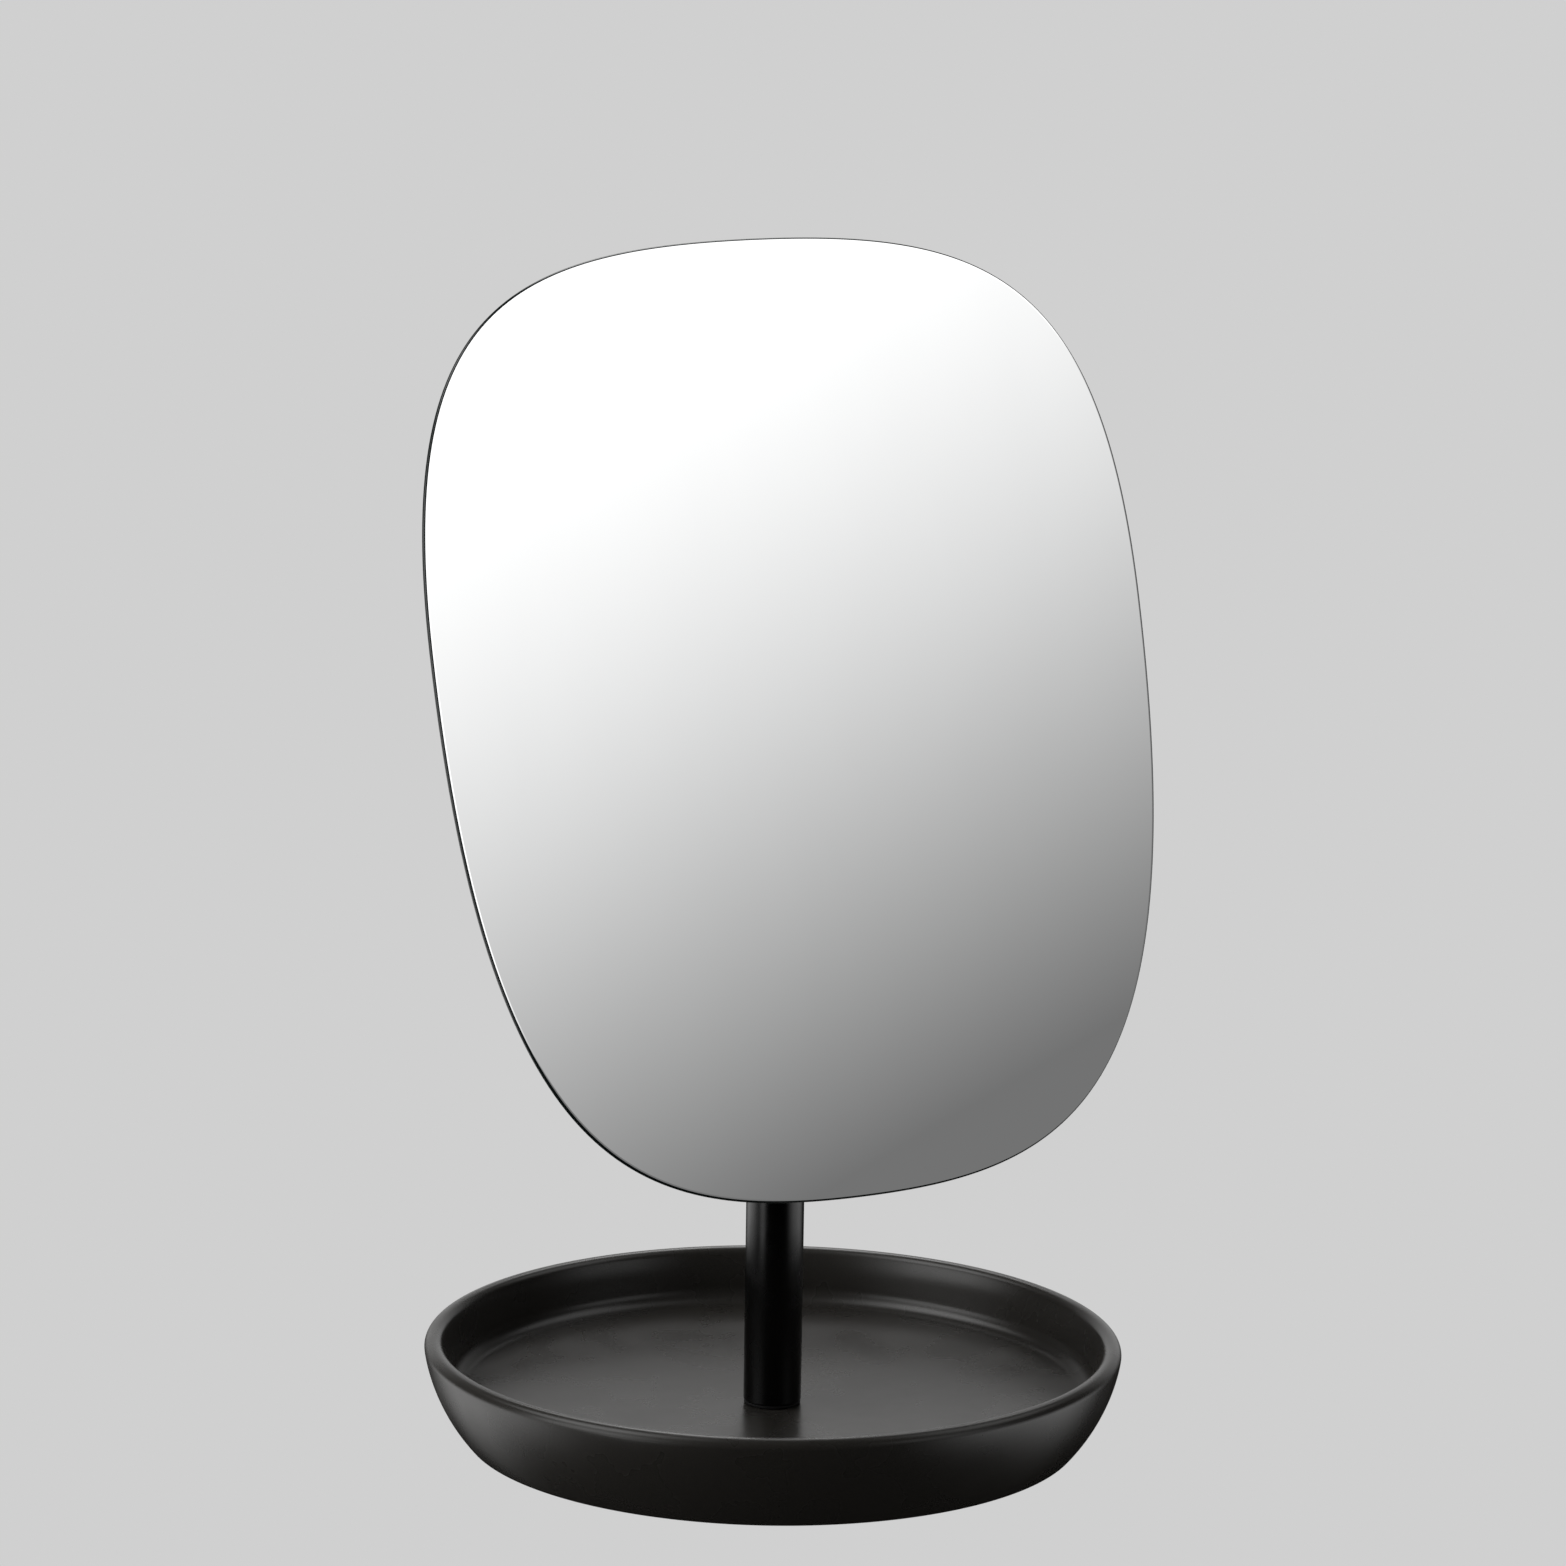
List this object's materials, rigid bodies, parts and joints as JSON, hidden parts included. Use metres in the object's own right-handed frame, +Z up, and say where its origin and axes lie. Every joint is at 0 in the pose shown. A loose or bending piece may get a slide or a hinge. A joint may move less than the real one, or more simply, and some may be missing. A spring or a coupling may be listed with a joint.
{
  "type": "countertop mirror",
  "caption": "Free-standing countertop mirror: a rounded glass on a round stem that swivels and tilts, standing in a shallow round black dish for small things.",
  "frame": {"origin": "centre of the underside, on the stem's axis", "axes": "+Z up along the stem; -Y is the way the mirror faces at rest; +X is on the right for someone who looks along +Y into the mirror"},
  "size_m": [0.2436, 0.217, 0.3723],
  "materials": {
    "satin_ceramic": "satin black, soft to the touch",
    "black_paint": "fine black powder coat",
    "silvered_glass": "silvered float glass with a fine polished edge",
    "zinc_steel": "zinc plated",
    "dark_steel": "blackened steel",
    "black_rubber": "matt",
    "nylon": "matt black nylon",
    "foam_tape": "matt white foam"
  },
  "bodies": {
    "stand": {"dish": "satin_ceramic", "base_pad": "black_rubber", "rubber_washer": "black_rubber", "load_washer": "zinc_steel", "stem_screw": "zinc_steel", "stem_gasket": "black_rubber", "stem_tube": "black_paint", "stem_foot_plug": "zinc_steel", "stem_top_plug": "zinc_steel", "plug_set_screw": "dark_steel", "swivel_glide": "nylon"},
    "swivel": {"swivel_head": "black_paint", "swivel_screw": "zinc_steel", "swivel_washer": "nylon", "swivel_spring": "dark_steel"},
    "mirror": {"friction_washer_left": "nylon", "friction_washer_right": "nylon", "tilt_axle": "dark_steel", "tilt_spring": "dark_steel", "tilt_nut": "dark_steel", "hinge_bracket": "black_paint", "bracket_nut_1": "dark_steel", "bracket_nut_2": "dark_steel", "bracket_nut_3": "dark_steel", "bracket_nut_4": "dark_steel", "weld_stud_1": "dark_steel", "weld_stud_2": "dark_steel", "weld_stud_3": "dark_steel", "weld_stud_4": "dark_steel", "back_plate": "black_paint", "tape_strip_1": "foam_tape", "tape_strip_2": "foam_tape", "tape_strip_3": "foam_tape", "tape_strip_4": "foam_tape", "mirror_glass": "silvered_glass"}
  },
  "joints": [
    {"name": "swivel_turn", "type": "hinge", "parent": "stand", "child": "swivel", "pos_m": [0, 0, 0.2034], "axis": [0, 0, 1], "continuous": true},
    {"name": "mirror_tilt", "type": "hinge", "parent": "swivel", "child": "mirror", "pos_m": [0, 0, 0.227], "axis": [-1, 0, 0], "range_deg": [-16, 44]}
  ]
}
